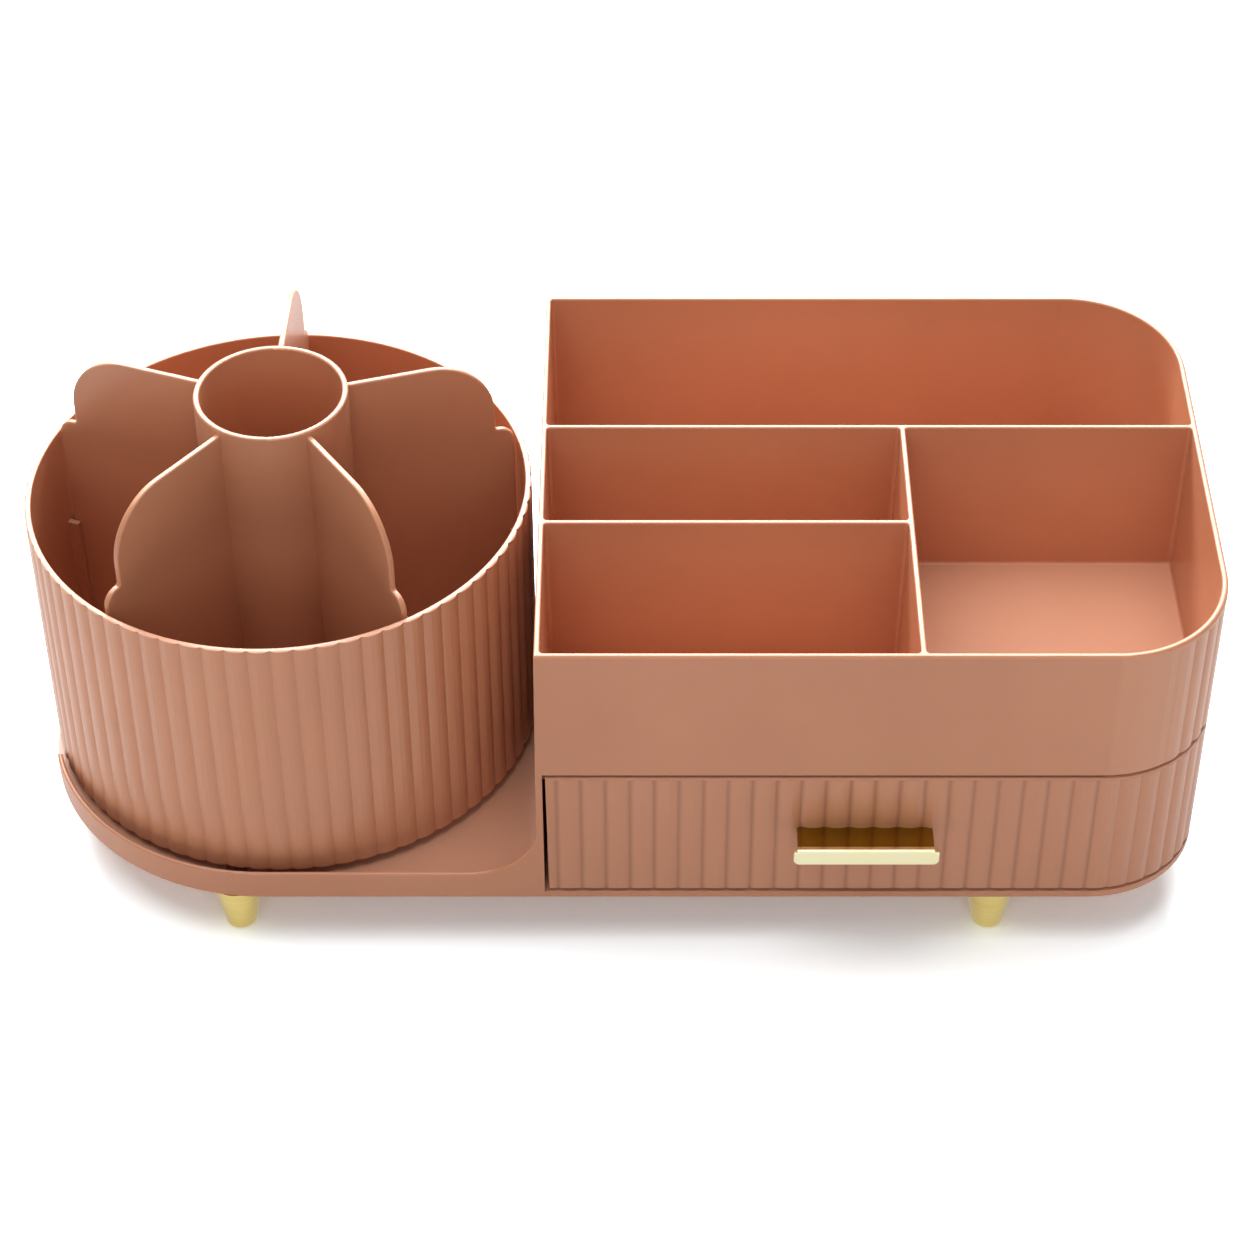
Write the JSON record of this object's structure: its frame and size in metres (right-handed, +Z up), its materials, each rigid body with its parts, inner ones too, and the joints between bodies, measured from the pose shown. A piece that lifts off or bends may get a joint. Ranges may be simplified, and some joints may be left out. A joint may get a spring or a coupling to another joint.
{
  "type": "makeup organizer with drawer",
  "caption": "Desk organizer with a divided sloping tray over a wrapped drawer and a turning reeded brush cup with a lift-out star divider on a round stage.",
  "frame": {"origin": "middle of the overall box in plan, on the surface that the foot pads stand on", "axes": "+Z up, the drawer front looks along -Y, the drawer block is at +X and the brush cup at -X"},
  "size_m": [0.3032, 0.1492, 0.1265],
  "materials": {
    "shell": "satin gloss",
    "gold": "polished gold anodised",
    "steel": "bright zinc",
    "slide": "matte",
    "pad": "matte"
  },
  "bodies": {
    "base": {"housing": "shell", "foot_front_left": "gold", "foot_front_right": "gold", "foot_rear_left": "gold", "foot_rear_right": "gold", "foot_screws": "steel", "foot_pads": "pad", "turntable_lower_race": "slide", "pivot_washer": "steel", "pivot_screw": "steel"},
    "ball_ring": {"ball_cage": "slide", "bearing_balls": "steel"},
    "turning_cup": {"cup": "shell", "turntable_upper_race": "slide"},
    "insert": {"cup_insert": "shell"},
    "drawer": {"drawer_box": "shell", "drawer_front": "shell", "drawer_pull": "gold", "pull_screws": "steel"}
  },
  "joints": [
    {"name": "cup_spin", "type": "hinge", "parent": "base", "child": "turning_cup", "pos_m": [-0.08655, 0.0046, 0.0235], "axis": [0, 0, 1], "continuous": true},
    {"name": "ball_ring_roll", "type": "hinge", "parent": "base", "child": "ball_ring", "pos_m": [-0.08655, 0.0046, 0.022], "axis": [0, 0, 1], "continuous": true},
    {"name": "insert_lift", "type": "slide", "parent": "turning_cup", "child": "insert", "axis": [0, 0, 1], "range_m": [0, 0.08]},
    {"name": "drawer_slide", "type": "slide", "parent": "base", "child": "drawer", "axis": [0, -1, 0], "range_m": [0, 0.1]}
  ],
  "couplings": [
    {"joint": "ball_ring_roll", "follows": "cup_spin", "ratio": 0.5}
  ]
}
